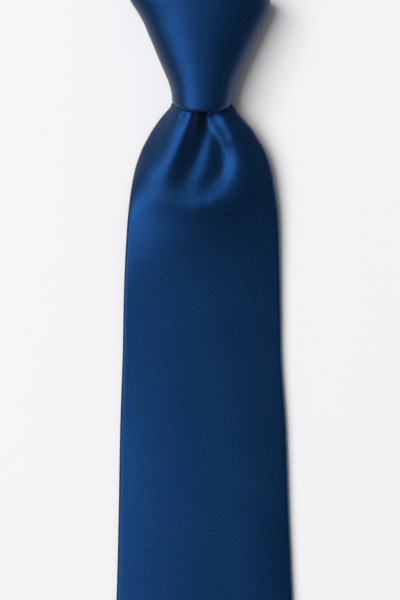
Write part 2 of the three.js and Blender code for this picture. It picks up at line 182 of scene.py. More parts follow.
def plain_cloth(name, dark, light, pitch=0.5, roughness=0.8, coordinates="UV"):
    """Plain weave: two crossing sets of yarn."""
    material, tree, shader = new_material(name)
    nodes, link = tree.nodes, tree.links.new
    place_in = nodes.new("ShaderNodeTexCoord")
    waves = []
    for direction in ("X", "Y"):
        wave = nodes.new("ShaderNodeTexWave")
        wave.bands_direction = direction
        wave.inputs["Scale"].default_value = 1000 / pitch / 6.3
        wave.inputs["Distortion"].default_value = 0.6
        link(place_in.outputs[coordinates], wave.inputs["Vector"])
        waves.append(wave)
    cross = nodes.new("ShaderNodeMath")
    cross.operation = "MULTIPLY"
    link(waves[0].outputs["Fac"], cross.inputs[0])
    link(waves[1].outputs["Fac"], cross.inputs[1])
    ramp = nodes.new("ShaderNodeValToRGB")
    ramp.color_ramp.elements[0].color = (*dark, 1)
    ramp.color_ramp.elements[1].color = (*light, 1)
    link(cross.outputs[0], ramp.inputs["Fac"])
    link(ramp.outputs["Color"], shader.inputs["Base Color"])
    bump = nodes.new("ShaderNodeBump")
    bump.inputs["Strength"].default_value = 0.4
    bump.inputs["Distance"].default_value = 0.0002
    link(cross.outputs[0], bump.inputs["Height"])
    link(bump.outputs["Normal"], shader.inputs["Normal"])
    shader.inputs["Roughness"].default_value = roughness
    return material


SATIN = satin("satin_navy", (0.0009, 0.0054, 0.0130), (0.0032, 0.0156, 0.034), (0.05, 0.278, 1.0))
LINING = plain_cloth("lining_navy", (0.004, 0.02, 0.055), (0.012, 0.05, 0.12), roughness=0.6)
THREAD = plain_cloth(
    "thread_navy", (0.005, 0.03, 0.09), (0.02, 0.08, 0.2), pitch=0.3, roughness=0.6, coordinates="Object"
)
LABEL = plain_cloth("label_grey_blue", (0.16, 0.2, 0.27), (0.3, 0.35, 0.42), pitch=0.4, roughness=0.55)
CARE = plain_cloth("care_label_white", (0.55, 0.54, 0.5), (0.8, 0.79, 0.75), pitch=0.4, roughness=0.75)

# ---- Mesh helpers ----------------------------------------------------------------------------------------


def make_object(name, vertices, faces, material, uvs=None, sharp=50.0):
    mesh = bpy.data.meshes.new(name)
    mesh.from_pydata([tuple(v) for v in place(vertices)], [], faces)
    if uvs is not None:
        layer = mesh.uv_layers.new(name="UVMap")
        index = np.zeros(len(mesh.loops), np.int32)
        mesh.loops.foreach_get("vertex_index", index)
        layer.data.foreach_set("uv", (np.asarray(uvs, float)[index] * MM).ravel())
    mesh.materials.append(material)
    mesh.shade_smooth()
    mesh.set_sharp_from_angle(angle=math.radians(sharp))
    mesh.validate()
    obj = bpy.data.objects.new(name, mesh)
    bpy.context.scene.collection.objects.link(obj)
    return obj


def unit(v):
    return v / np.maximum(np.linalg.norm(v, axis=-1, keepdims=True), 1e-9)


def lengths(grid, axis):
    step = np.linalg.norm(np.diff(grid, axis=axis), axis=-1)
    total = np.cumsum(step, axis=axis)
    return np.concatenate([np.zeros_like(np.take(total, [0], axis=axis)), total], axis=axis)


def cloth(name, grid, material, wall=WALL, sharp=50.0):
    """A closed sheet of cloth round the middle surface grid[row, column]."""
    rows, columns = grid.shape[:2]
    normal = unit(np.cross(np.gradient(grid, axis=0), np.gradient(grid, axis=1)))
    sides = [grid + normal * wall / 2, grid - normal * wall / 2]
    vertices = np.concatenate([s.reshape(-1, 3) for s in sides])
    length = np.repeat(lengths(grid, 0).mean(1)[:, None], columns, 1)
    uv = np.stack([lengths(grid, 1), length], -1).reshape(-1, 2)
    one = np.arange(rows * columns).reshape(rows, columns)
    two = one + rows * columns
    faces = []
    for r in range(rows - 1):
        for c in range(columns - 1):
            faces.append((one[r, c], one[r + 1, c], one[r + 1, c + 1], one[r, c + 1]))
            faces.append((two[r, c], two[r, c + 1], two[r + 1, c + 1], two[r + 1, c]))
    for c in range(columns - 1):
        faces.append((one[0, c], one[0, c + 1], two[0, c + 1], two[0, c]))
        faces.append((one[-1, c], two[-1, c], two[-1, c + 1], one[-1, c + 1]))
    for r in range(rows - 1):
        faces.append((one[r, 0], two[r, 0], two[r + 1, 0], one[r + 1, 0]))
        faces.append((one[r, -1], one[r + 1, -1], two[r + 1, -1], two[r, -1]))
    faces = [tuple(int(i) for i in f) for f in faces]
    return make_object(name, vertices, faces, material, np.tile(uv, (2, 1)), sharp)


def closed_loft(name, grid, material, sharp=50.0, caps=True):
    """A solid skinned over closed loops grid[section, point]."""
    rows, columns = grid.shape[:2]
    vertices = grid.reshape(-1, 3)
    index = np.arange(rows * columns).reshape(rows, columns)
    faces = []
    for r in range(rows - 1):
        for c in range(columns):
            n = (c + 1) % columns
            faces.append((index[r, c], index[r, n], index[r + 1, n], index[r + 1, c]))
    if caps:
        for i in range(columns // 2 - 1):
            a, b, c, d = i, i + 1, columns - 2 - i, columns - 1 - i
            faces.append((index[0, d], index[0, c], index[0, b], index[0, a]))
            faces.append((index[-1, a], index[-1, b], index[-1, c], index[-1, d]))
    uv = np.stack([lengths(grid, 1), lengths(grid, 0)], -1).reshape(-1, 2)
    obj = make_object(name, vertices, [tuple(int(i) for i in f) for f in faces], material, uv, sharp)
    return outward(obj)


def outward(obj):
    """Turns the faces to point out."""
    mesh = obj.data
    volume = 0.0
    for polygon in mesh.polygons:
        corners = [mesh.vertices[i].co for i in polygon.vertices]
        for k in range(1, len(corners) - 1):
            volume += corners[0].dot(corners[k].cross(corners[k + 1]))
    if volume < 0:
        mesh.flip_normals()
    return obj


# ---- The folded envelope ---------------------------------------------------------------------------------


def envelope(left, right, flap, faces, flaps=18, folds=9, thick=THICK, wall=WALL):
    """Middle line of an envelope's satin: left flap's end, left fold, face, right fold, right flap's end.
    left and right are its edges, and v counts up from its back."""
    radius = (thick - wall) / 2
    inset = wall / 2 + radius
    inset = min(inset, (left + right) * 0.45)
    start, stop = -left + inset, right - inset
    overlap = np.clip((flap - (left + right) / 2) / SEAM_OVERLAP, 0, 1)
    reach_left = max(-left + flap, start + 0.1)
    reach_right = min(right - flap, stop - 0.1)
    ul = np.linspace(reach_left, start, flaps)
    rise = (wall + LAYER_GAP) * overlap * smooth(ul, -SEAM_OVERLAP - 8, -SEAM_OVERLAP - 1.5)
    ur = np.linspace(stop, reach_right, flaps)
    angle = np.linspace(1.5 * math.pi, 0.5 * math.pi, folds + 2)[1:-1]
    face = stop + (start - stop) * faces
    return np.concatenate(
        [
            np.stack([ul, wall / 2 + rise], 1),
            np.stack([start + radius * np.cos(angle), thick / 2 + radius * np.sin(angle)], 1),
            np.stack([face, np.full_like(face, thick - wall / 2)], 1),
            np.stack([stop - radius * np.cos(angle[::-1]), thick / 2 + radius * np.sin(angle[::-1])], 1),
            np.stack([ur, np.full_like(ur, wall / 2)], 1),
        ]
    )


# ---- Front blade -----------------------------------------------------------------------------------------

# Distance below the mouth, and the blade's left and right edges.
BLADE_EDGES = table(
    [
        (-16, 8.2, 8.2),
        (-8, 8.8, 8.8),
        (-5, 9.8, 9.6),
        (-3, 12.5, 11.4),
        (-0.8, 13.6, 13.0),
        (1.6, 15.7, 14.3),
        (4.1, 17.8, 16.4),
        (8.2, 20.7, 20.0),
        (12.3, 23.1, 22.5),
        (16.4, 25.2, 25.0),
        (24.6, 28.0, 27.9),
        (32.8, 29.6, 29.4),
        (41, 30.6, 30.5),
        (49.2, 31.3, 31.0),
        (73.8, 32.5, 31.5),
        (98.4, 33.0, 31.9),
        (131, 34.1, 33.9),
        (164, 34.7, 35.0),
        (197, 35.5, 36.4),
        (250, 37.9, 38.6),
        (363, BLADE_WIDTH / 2, BLADE_WIDTH / 2),
    ]
)
BLADE_SHOULDER = BLADE_TIP - BLADE_WIDTH / 2
BLADE_BAR_TACK = BLADE_TIP - 138


def blade_edges(down):
    left, right = BLADE_EDGES(down).T if np.ndim(down) else BLADE_EDGES(down)
    point = np.maximum(BLADE_TIP - down, 0.6)
    return np.minimum(left, point), np.minimum(right, point)


# Distance below the mouth, and how high the middle of the face stands above the blade's thickness.
BLADE_CROWN = table(
    [
        (-16, 10.8),
        (0, 10.6),
        (20, 9.9),
        (34, 8.9),
        (45, 6.8),
        (60, 4.5),
        (78, 3.1),
        (105, 2.5),
        (140, 1.9),
        (200, 1.8),
        (352, 1.8),
        (BLADE_TIP, 0.5),
    ]
)


def blade_arch(x, down):
    """Height of the blade's face where it lies smooth."""
    left, right = blade_edges(down)
    below = np.maximum(down, 0)
    crest = (15 * smooth(down, 95, 175) - 9 * smooth(down, 38, 62)) * (1 - smooth(down, 300, BLADE_TIP))
    side = x < crest
    reach = np.maximum(right - crest, 0.1)
    share = np.clip(np.where(side, (crest - x) / (left + crest), (x - crest) / reach), 0, 1)
    middle = BLADE_CROWN(np.asarray(down, float))[..., 0]
    lifted = 3.0 * smooth(down, 18, 46) * (1 - smooth(down, 60, 155))
    edge = np.where(side, 4.4 * np.exp(-below / 12) + lifted, 6.2 * np.exp(-below / 34))
    edge = edge * (1 - smooth(down, 110, 180))
    power = 2 + np.where(side, 0.6, 1.6) * smooth(down, 60, 190)
    return THICK + middle + (edge - middle) * share**power


# Lines over the gathered throat, each a run of (x, down, height above the table).
THROAT_LINES = {
    "left_crest": [
        (-3.2, 0.6, 14.4),
        (-4.8, 4.2, 15.2),
        (-5.9, 8, 15.2),
        (-7.4, 12.3, 14.8),
        (-9.5, 16.4, 14.2),
        (-11.2, 20.5, 13.4),
        (-13, 24.6, 12.6),
        (-14.6, 28.7, 11.7),
        (-16.6, 33, 10.8),
    ],
    "left_band": [
        (-8, 2.8, 13.9),
        (-10, 8, 14.4),
        (-11.9, 13, 13.9),
        (-14.2, 18.4, 12.9),
        (-16.6, 23.4, 11.9),
    ],
    "left_flank": [
        (-10.4, 2.4, 12.8),
        (-12.4, 8, 13.1),
        (-14.2, 13, 12.6),
        (-17, 19, 11.3),
        (-20, 24.6, 10.2),
    ],
    "left_side": [
        (-14.4, 4.1, 9.2),
        (-16.9, 8.2, 8.9),
        (-18.9, 12.6, 8.3),
        (-22, 19, 7.5),
        (-24.6, 25, 7.2),
    ],
    "left_hollow": [
        (1, 1, 9),
        (0.6, 4.2, 9.3),
        (0, 8.2, 9.9),
        (-1.6, 12.3, 10.4),
        (-3, 16.4, 10.65),
        (-4.4, 20.5, 10.8),
        (-6.2, 24.6, 10.9),
        (-9, 29.4, 11),
    ],
    "under_lip": [
        (2.7, 2, 9.1),
        (2.8, 5.4, 9.4),
    ],
    "middle_crest": [
        (2.8, 10.6, 9.9),
        (2.8, 14, 10.35),
        (2.6, 18.5, 10.75),
        (1.6, 24.6, 11),
        (-1, 29.4, 11.1),
    ],
    "right_hollow": [
        (3.2, 3.3, 9.8),
        (3.8, 6.2, 9.9),
        (5, 9, 10.1),
        (6.8, 12.3, 10.1),
        (8.3, 16.4, 9.8),
        (8.8, 20.5, 9.7),
        (8.4, 24.6, 9.8),
        (5.8, 28.9, 10.25),
        (0.6, 32.6, 10.9),
    ],
    "right_crest": [
        (5.2, 2.4, 10.9),
        (6.3, 6.2, 11.2),
        (8.5, 9, 11.5),
        (10.4, 12.3, 11.5),
        (11.4, 16.4, 10.8),
        (11.9, 20.5, 10.5),
        (11.6, 24.6, 10.6),
        (10.6, 28.7, 10.9),
        (8.5, 32.8, 11.4),
        (4.5, 36.9, 11.7),
        (-1.8, 40.2, 11.2),
    ],
}
THROAT_END = 52.0  # the gathers have run out by here
THROAT_FADE = 14.0
GATHER_SPACING = 1.5  # between the points set along a line


def along(points, spacing):
    """Points evenly spaced along a smooth line through the given ones."""
    points = np.asarray(points, float)
    run = np.concatenate([[0], np.cumsum(np.linalg.norm(np.diff(points[:, :2], axis=0), axis=1))])
    line = table(np.column_stack([run, points]))
    return line(np.linspace(0, run[-1], max(int(run[-1] / spacing), 2)))


def throat_surface():
    """Thin-plate surface of the gathers' heights above the smooth arch, level at the edges and below."""
    ridges = np.vstack([along(line, GATHER_SPACING) for line in THROAT_LINES.values()])
    ridges[:, 2] -= blade_arch(ridges[:, 0], ridges[:, 1])
    flat = []
    for down in np.arange(-16, THROAT_END, 3.0):
        left, right = (float(v) for v in blade_edges(float(down)))
        flat += [(-left, down, 0), (right, down, 0)]
    for down in (THROAT_END - 2, THROAT_END + 6):
        flat += [(x, down, 0) for x in np.linspace(-32, 32, 9)]
    inside_knot = ((-6, -1.2), (-3, 0.2), (0, -1.6), (3, 0.2), (6, -1.2))
    flat += [(x, down, height) for down in (-16, -8) for x, height in inside_knot]
    points = np.vstack([ridges, np.array(flat, float)])
    xy, z = points[:, :2], points[:, 2]

    def kernel(a, b):
        square = ((a[:, None, :] - b[None, :, :]) ** 2).sum(-1)
        return 0.5 * square * np.log(np.maximum(square, 1e-12))

    n = len(points)
    system = np.zeros((n + 3, n + 3))
    system[:n, :n] = kernel(xy, xy) + np.eye(n) * 1.0
    system[:n, n], system[:n, n + 1 :] = 1, xy
    system[n, :n], system[n + 1 :, :n] = 1, xy.T
    weights = np.linalg.solve(system, np.concatenate([z, np.zeros(3)]))

    def read(x, down):
        where = np.stack([np.ravel(x), np.ravel(down)], 1)
        value = kernel(where, xy) @ weights[:n] + weights[n] + where @ weights[n + 1 :]
        return value.reshape(np.shape(x))

    return read


throat = throat_surface()


def blade_face(x, down):
    height = blade_arch(x, down)
    near = 1 - smooth(down, THROAT_END - THROAT_FADE, THROAT_END)
    if np.all(near == 0):
        return height
    left, right = blade_edges(down)
    edge = smooth(np.minimum(x + left, right - x), 0, 2.5)
    return height + throat(x, down) * near * edge


def blade_flap(down, half):
    """Width of each back flap: past the middle down to the bar tack, then parting to the hem at the tip."""
    parting = np.clip((down - BLADE_BAR_TACK) / (BLADE_SHOULDER - BLADE_BAR_TACK), 0, 1)
    return (half + SEAM_OVERLAP) * (1 - parting) + min(HEM, half - 0.2) * parting


def blade_grid(downs, columns, flaps=18, folds=9):
    rows = []
    for down in downs:
        left, right = (float(v) for v in blade_edges(float(down)))
        flap = blade_flap(down, (left + right) / 2)
        thick = min(THICK, 0.9 * (left + right) + 0.5)
        outline = envelope(left, right, flap, columns, flaps, folds, thick)
        x, v = outline[:, 0], outline[:, 1]
        height = blade_face(x, np.full_like(x, down)) - thick + v
        rows.append(np.stack([x, np.full_like(x, -down), height], 1))
    return np.array(rows)


SPLIT_DOWN = 62.0  # where the two visible lengths of the front blade meet

upper_rows = stretches((-16, -4, 9), (-4, 44, 81), (44, SPLIT_DOWN, 15))
even = np.linspace(-1, 1, 75)
throat_columns = 0.5 + 0.5 * np.sin(even * math.pi / 2) * 0.35 + 0.325 * even  # closer towards the edges
blade_upper_grid = blade_grid(upper_rows, throat_columns[::-1])
front_blade_throat = cloth("front_blade_throat", blade_upper_grid, SATIN)

lower_rows = stretches(
    (SPLIT_DOWN, -FOLD_HINGE - 12, 30),
    (-FOLD_HINGE - 12, -FOLD_HINGE + 12, 25),
    (-FOLD_HINGE + 12, BLADE_SHOULDER - 2, 32),
    (BLADE_SHOULDER - 2, BLADE_TIP - 0.8, 46),
)
blade_lower_grid = blade_grid(lower_rows, throat_columns[::-1])
front_blade = cloth("front_blade", blade_lower_grid, SATIN)

at(0, -4, 0)
at(0, -24, 0)
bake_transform(front_blade_throat)
at(0, -203, 0)
at(0, -216, 0)
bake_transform(front_blade)
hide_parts("blade_throat", "blade_shell_upper", "blade_interlining_upper")
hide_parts("blade_shell_lower", "blade_interlining_lower")


def under_blade(name, downs, half_at, depth, wall, material, columns=25):
    """A thin strip of cloth lying along the blade's back, depth below it (negative: inside it)."""
    rows = []
    for down in downs:
        half = half_at(down)
        x = np.linspace(-half, half, columns)
        height = blade_face(x, np.full_like(x, down)) - THICK - depth - wall / 2
        rows.append(np.stack([x, np.full_like(x, -down), height], 1))
    grid = np.array(rows)
    return cloth(name, grid, material, wall), grid


def blade_tipping_half(down):
    left, right = (float(v) for v in blade_edges(float(down)))
    half = (left + right) / 2
    return max(min(half - blade_flap(down, half) + 5, half - 1.6), 0.6)


LINING_WALL = 0.3
tipping_rows = stretches((BLADE_BAR_TACK + 8, BLADE_SHOULDER, 30), (BLADE_SHOULDER, BLADE_TIP - 9, 20))
blade_lining, lining_grid = under_blade(
    "blade_lining", tipping_rows, blade_tipping_half, -WALL - 0.55, LINING_WALL, LINING
)
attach(blade_lining, "front_blade_lower")
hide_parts("blade_tipping")

keeper, keeper_grid = under_blade("keeper", np.linspace(190, 202, 9), lambda d: 25.0, 0.15, 0.8, SATIN)
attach(keeper, "front_blade_upper")
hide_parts("keeper_loop")

label, label_grid = under_blade("maker_label", np.linspace(216, 240, 13), lambda d: 27.0, 0.12, 0.35, LABEL)
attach(label, "front_blade_lower")
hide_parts("brand_label")

care, care_grid = under_blade("washing_label", np.linspace(243, 259, 9), lambda d: 9.0, 0.12, 0.35, CARE)
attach(care, "front_blade_lower")
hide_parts("care_label")

# ---- Knot ------------------------------------------------------------------------------------------------

# Height above the mouth, and the knot's left and right sides.
KNOT_SIDES = table(
    [
        (-1.5, 12.2, 11.2),
        (3.3, 12.8, 12.1),
        (5.7, 12.9, 12.6),
        (10.7, 14.1, 13.8),
        (15.6, 16.1, 15.9),
        (20.5, 18.2, 17.9),
        (25.4, 20.2, 20.3),
        (30.3, 22.3, 22.5),
        (35.3, 24.4, 24.9),
        (40.2, 27.2, 27.0),
        (43.5, 29.4, 27.5),
        (46.5, 30.8, 27.0),
    ]
)
WRAP_THICK = 2.1


def wrap_surface(angle, share, inset=0.0):
    """A point of the front wrap: angle round it from the right side over the front, share from its lower to
    its upper edge, inset from its outer face."""
    c, s = np.cos(angle), np.sin(angle)
    power = np.where(s > 0, 2 / 2.45, 2 / 4.0)
    across = np.sign(c) * np.abs(c) ** power
    y = share * 46
    for _ in range(4):
        left, right = KNOT_SIDES(y).T
        x = across * (np.where(c < 0, left, right) - inset)
        lower = -1.2 + 4.6 * np.abs(x / 12.4) ** 4
        lower = np.minimum(lower, 3.6)
        upper = 46.3 - 0.07 * x
        y = lower + (upper - lower) * share
    middle = 5.4 + 0.04 * y
    front = 18.3 + 0.07 * y - middle
    rise = np.where(s > 0, front - inset, middle - inset)
    return np.stack([x, y, middle + rise * np.sign(s) * np.abs(s) ** power], -1)


WRAP_END = math.radians(68)
WRAP_ANGLES = np.linspace(-WRAP_END, math.pi + WRAP_END, 121)
WRAP_SHARES = np.linspace(0.012, 0.988, 49)


def wrap_line(angle, inset=0.0):
    return wrap_surface(np.full_like(WRAP_SHARES, angle), WRAP_SHARES, inset)


def front_wrap():
    lips = np.linspace(0, math.pi, 8)[1:-1]
    loops = []
    for a in WRAP_ANGLES:
        outer, inner = wrap_line(a), wrap_line(a, WRAP_THICK)
        ends = []
        for edge, step in ((-1, 1), (0, -1)):
            o, i = outer[edge], inner[edge]
            middle, arm = (o + i) / 2, (o - i) / 2
            reach = unit(outer[edge] - outer[edge - 1 if edge else 1]) * np.linalg.norm(arm)
            ends.append(np.array([middle + arm * math.cos(t) * step + reach * math.sin(t) for t in lips]))
        loops.append(np.concatenate([outer, ends[0], inner[::-1], ends[1]]))
    return np.roll(np.array(loops), len(lips) // 2, axis=1)


knot_wrap = closed_loft("knot_wrap", front_wrap(), SATIN)
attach(knot_wrap, "knot")
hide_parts("knot_front_wrap")
wrap_middle = np.array([wrap_line(a, WRAP_THICK / 2) for a in WRAP_ANGLES])


def pillow(name, stations, material, axis="x", power=2.4, around=40, round_ends=4, sharp=60.0):
    """A soft solid on superellipse sections along an axis. Each station is (place along the axis, centre and
    half size across, centre and half size in height)."""
    keys = table(stations)
    first, last = stations[0][0], stations[-1][0]
    inner = np.linspace(first, last, 30)
    sections = [(k, *keys(k), 1.0) for k in inner]
    for end, sign in ((0, -1), (-1, 1)):
        key, values = inner[end], keys(inner[end])
        reach = min(values[1], values[3])
        caps = []
        for t in np.linspace(0, math.pi / 2, round_ends + 2)[1:]:
            caps.append((key + sign * reach * math.sin(t), *values, max(math.cos(t), 0.04)))
        sections = [*reversed(caps), *sections] if end == 0 else [*sections, *caps]
    angle = np.linspace(0, 2 * math.pi, around, endpoint=False)
    c, s = np.cos(angle), np.sin(angle)
    across = np.sign(c) * np.abs(c) ** (2 / power)
    height = np.sign(s) * np.abs(s) ** (2 / power)
    grid = []
    for key, a, half_a, b, half_b, scale in sections:
        shrink = half_a - min(half_a, half_b) * (1 - scale)
        u, v = a + across * shrink, b + height * half_b * scale
        along = np.full_like(u, key)
        grid.append(np.stack([along, u, v] if axis == "x" else [u, along, v], 1))
    grid = np.array(grid)
    obj = closed_loft(name, grid, material, sharp)
    return obj


# The passes that show along the knot's top: the blade going over it, and one diagonal pass beside each arm.
crown_roll = pillow(
    "knot_top_roll",
    [
        (-15.5, 36.0, 10.5, 14.6, 1.5),
        (-10, 35.5, 13.6, 15.2, 2.3),
        (0, 35.5, 15.0, 15.6, 2.9),
        (10, 35.5, 13.8, 15.2, 2.3),
        (15.5, 36.0, 10.5, 14.6, 1.5),
    ],
    SATIN,
)
left_wing = pillow(
    "knot_left_pass",
    [
        (-23.0, 44.0, 3.0, 9.6, 1.8),
        (-17.5, 40.5, 7.4, 11.4, 2.9),
        (-11, 36, 13.3, 11.4, 2.3),
        (-1.2, 35, 14.9, 10.7, 1.6),
    ],
    SATIN,
)
right_wing = pillow(
    "knot_right_pass",
    [
        (9.4, 35, 14.9, 9.9, 2.6),
        (14, 37, 12.0, 10.6, 3.2),
        (18.5, 40.5, 7.2, 11.0, 3.0),
        (22.6, 43.6, 3.0, 9.4, 2.0),
    ],
    SATIN,
)
back_pass = pillow(
    "knot_back_pass",
    [
        (4.6, 0.0, 6.9, 1.05, 0.95),
        (24, 0.0, 12.6, 1.05, 1.0),
        (43.4, 0.0, 18.3, 1.05, 1.0),
    ],
    SATIN,
    axis="y",
    power=6.0,
    around=48,
)
core = pillow("knot_core", [(4.5, 0, 6.6, 7.0, 0.75), (18.5, 0, 7.4, 7.2, 1.0)], SATIN, axis="y", power=4.0)
for piece, node in (
    (left_wing, "knot_left_wing"),
    (right_wing, "knot_right_wing"),
    (back_pass, "knot_back_wrap"),
    (core, "knot_inner_pass"),
    (crown_roll, None),
):
    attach(piece, "knot")
    if node:
        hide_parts(node)

# ---- Neckband and tail -----------------------------------------------------------------------------------

GATHERED = 15.0  # width of a band where the knot grips it
LEFT_BAND, RIGHT_BAND = 33.0, 30.0
LEFT_LEVEL, RIGHT_LEVEL = 6.0, 3.0  # heights of the two bands where they run into the knot
LOOP_POINTS = [(31, 83), (46, 110), (56, 138), (57, 166), (46, 192), (25, 207)]


def band_centre(y):
    return 9 * smooth(y, 18, 46) + 10 * np.clip((np.asarray(y) - 40) / 22, 0, 1) ** 1.6


def loop_path(samples=1200):
    """Points evenly spaced along the neck loop's centre line, from its left arm over the crown to its right,
    and the line's length. The curve is a centripetal Catmull-Rom spline."""
    foot = (float(band_centre(LOOP_HINGE)), LOOP_HINGE)
    right = [foot, *LOOP_POINTS]
    points = np.array([(-x, y) for x, y in right] + [(0, 212)] + right[::-1], float)
    ends = np.vstack([2 * points[0] - points[1], points, 2 * points[-1] - points[-2]])
    fine = []
    for i in range(1, len(ends) - 2):
        p0, p1, p2, p3 = ends[i - 1 : i + 3]
        t0 = 0.0
        t1 = t0 + np.linalg.norm(p1 - p0) ** 0.5
        t2 = t1 + np.linalg.norm(p2 - p1) ** 0.5
        t3 = t2 + np.linalg.norm(p3 - p2) ** 0.5
        t = np.linspace(t1, t2, 80, endpoint=i == len(ends) - 3)[:, None]
        a1 = (t1 - t) / (t1 - t0) * p0 + (t - t0) / (t1 - t0) * p1
        a2 = (t2 - t) / (t2 - t1) * p1 + (t - t1) / (t2 - t1) * p2
        a3 = (t3 - t) / (t3 - t2) * p2 + (t - t2) / (t3 - t2) * p3
        b1 = (t2 - t) / (t2 - t0) * a1 + (t - t0) / (t2 - t0) * a2
        b2 = (t3 - t) / (t3 - t1) * a2 + (t - t1) / (t3 - t1) * a3
        fine.append((t2 - t) / (t2 - t1) * b1 + (t - t1) / (t2 - t1) * b2)
    fine = np.vstack(fine)
    run = np.concatenate([[0], np.cumsum(np.linalg.norm(np.diff(fine, axis=0), axis=1))])
    even = np.linspace(0, run[-1], samples)
    return np.stack([np.interp(even, run, fine[:, k]) for k in (0, 1)], 1), run[-1]


LOOP, LOOP_LENGTH = loop_path()
LOOP_HEADING = unit(np.gradient(LOOP, axis=0))


def band_width(share):
    near = np.minimum(share, 1 - share)
    return LEFT_BAND + (RIGHT_BAND - LEFT_BAND) * share - 4 * (1 - smooth(near, 0, 0.12))


def loop_frame(share):
    """Centre, direction across the band and its face's normal, for shares of the way round the loop."""
    share = np.clip(share, 0, 1)
    spot = share * (len(LOOP) - 1)

    def pick(values):
        return np.stack([np.interp(spot, np.arange(len(LOOP)), values[:, k]) for k in (0, 1)], -1)

    near = np.minimum(share, 1 - share)
    straight = np.stack([np.zeros_like(share), np.where(share < 0.5, 1.0, -1.0)], -1)
    blend = (1 - smooth(near, 0, 0.09))[..., None]
    heading = unit(pick(LOOP_HEADING) * (1 - blend) + straight * blend)
    roll = math.radians(84) * smooth(near, 0.01, 0.36)
    outward_x, outward_y = -heading[..., 1], heading[..., 0]
    across = np.stack([outward_x * np.cos(roll), outward_y * np.cos(roll), -np.sin(roll)], -1)
    normal = np.stack([outward_x * np.sin(roll), outward_y * np.sin(roll), np.cos(roll)], -1)
    level = np.where(share < 0.5, LEFT_LEVEL, RIGHT_LEVEL) * (1 - smooth(near, 0, 0.15))
    centre = np.concatenate([pick(LOOP), (level + np.sin(roll) * band_width(share) / 2)[..., None]], -1)
    return centre, across, normal


def pleats(x, half, amount):
    """Soft gathers across a band where the knot squeezes it."""
    share = x / half
    return amount * (np.cos(share * 7.5) * 0.6 + np.sin(share * 4.1 + 0.7) * 0.4) * (1 - share**4)


BAND_FACE = np.linspace(1, 0, 29)


def band_section(width, amount):
    """Places across a band and their lift off its back, for a slightly crowned face with gathers."""
    outline = envelope(width / 2, width / 2, width / 2 + SEAM_OVERLAP, BAND_FACE, 12, 7)
    x, v = outline[:, 0], outline[:, 1]
    return x, v + 0.5 * (1 - (2 * x / width) ** 2) * (v / THICK) + pleats(x, width / 2, amount)


def gathering(y):
    """How deep the gathers are at a distance above the mouth, measured along the band."""
    return 0.55 * (1 - float(smooth(y, 44, 96)))


def loop_rows(shares, skews):
    rows = []
    for share, skew in zip(shares, skews):
        near = min(share, 1 - share) * LOOP_LENGTH + LOOP_HINGE
        x, lift = band_section(float(band_width(share)), gathering(near))
        centre, across, normal = loop_frame(share + skew * x / LOOP_LENGTH)
        rows.append(centre + across * x[:, None] + normal * lift[:, None])
    return rows


def arm_rows(side, ys):
    """The straight stretch of a band from inside the knot up to the loop's hinge. side is -1 for the left."""
    rows = []
    top = LEFT_BAND - 4 if side < 0 else RIGHT_BAND - 4
    for y in ys:
        width = GATHERED + (top - GATHERED) * float(smooth(y, 20 if side < 0 else 18, LOOP_HINGE))
        x, lift = band_section(width, gathering(y) * float(smooth(y, 30, 50)))
        level = LEFT_LEVEL if side < 0 else RIGHT_LEVEL
        centre = side * float(band_centre(y))
        rows.append(np.stack([centre + side * x, np.full_like(x, y), lift + level], 1))
    return rows


LEFT_SEAM, RIGHT_SEAM = 0.27, 0.72


def seam_skew(shares, seams):
    """How far each row leans to follow the bias seams, fading out 45 mm from each."""
    total = np.zeros_like(shares)
    for seam, amount in seams:
        total += amount * np.clip(1 - np.abs(shares - seam) * LOOP_LENGTH / 45, 0, 1)
    return total


seam_gap = 0.02 / LOOP_LENGTH
left_shares = np.linspace(0.0, LEFT_SEAM - seam_gap, 46)
crown_shares = np.linspace(LEFT_SEAM + seam_gap, RIGHT_SEAM - seam_gap, 80)
right_shares = np.linspace(RIGHT_SEAM + seam_gap, 1.0, 46)
ARM_CUT = 56.0  # height of the joint between the band that the knot grips and the band above it

left_arm = arm_rows(-1, np.linspace(ARM_CUT, LOOP_HINGE, 8)[:-1])
right_arm = arm_rows(1, np.linspace(LOOP_HINGE, 16, 40)[1:])
left_skews = seam_skew(left_shares, [(LEFT_SEAM, -1)])
crown_skews = seam_skew(crown_shares, [(LEFT_SEAM, -1), (RIGHT_SEAM, 1)])
right_skews = seam_skew(right_shares, [(RIGHT_SEAM, 1)])

left_end_grid = np.array(arm_rows(-1, np.linspace(20, ARM_CUT, 26)))
left_grid = np.array(left_arm + loop_rows(left_shares, left_skews))
crown_grid = np.array(loop_rows(crown_shares, crown_skews))
right_grid = np.array(loop_rows(right_shares, right_skews) + right_arm)

band_end = cloth("left_band_in_knot", left_end_grid, SATIN)
left_band = cloth("left_band", left_grid, SATIN)
crown_band = cloth("crown_band", crown_grid, SATIN)
right_band = cloth("right_band", right_grid, SATIN)
at(0, 32, 0)
at(0, ARM_CUT, 0)
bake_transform(band_end)
at(0, ARM_CUT + 1, 0)
at(0, 76, 0)
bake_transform(left_band)
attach(crown_band, "neck_loop")
at(0, ARM_CUT + 1, 0)
at(0, 76, 0)
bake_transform(right_band)
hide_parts("left_band_end")
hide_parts("left_band_shell", "left_band_interlining")
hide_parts("crown_band_shell", "crown_band_interlining")
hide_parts("right_band_shell", "right_band_interlining")

TAIL_SHOULDER = TAIL_TIP - TAIL_WIDTH / 2
TAIL_BAR_TACK = TAIL_TIP - 75


def tail_width(down):
    flat = 27 + (TAIL_WIDTH - 27) * np.clip((down - 80) / (TAIL_SHOULDER - 80), 0, 1)
    width = GATHERED + (flat - GATHERED) * smooth(down, -TAIL_HINGE, -TAIL_HINGE + 30)
    return float(np.minimum(width, np.maximum(2 * (TAIL_TIP - down), 1.2)))


def tail_level(down):
    return RIGHT_LEVEL * (1 - float(smooth(down, -TAIL_HINGE, -TAIL_HINGE + 34)))


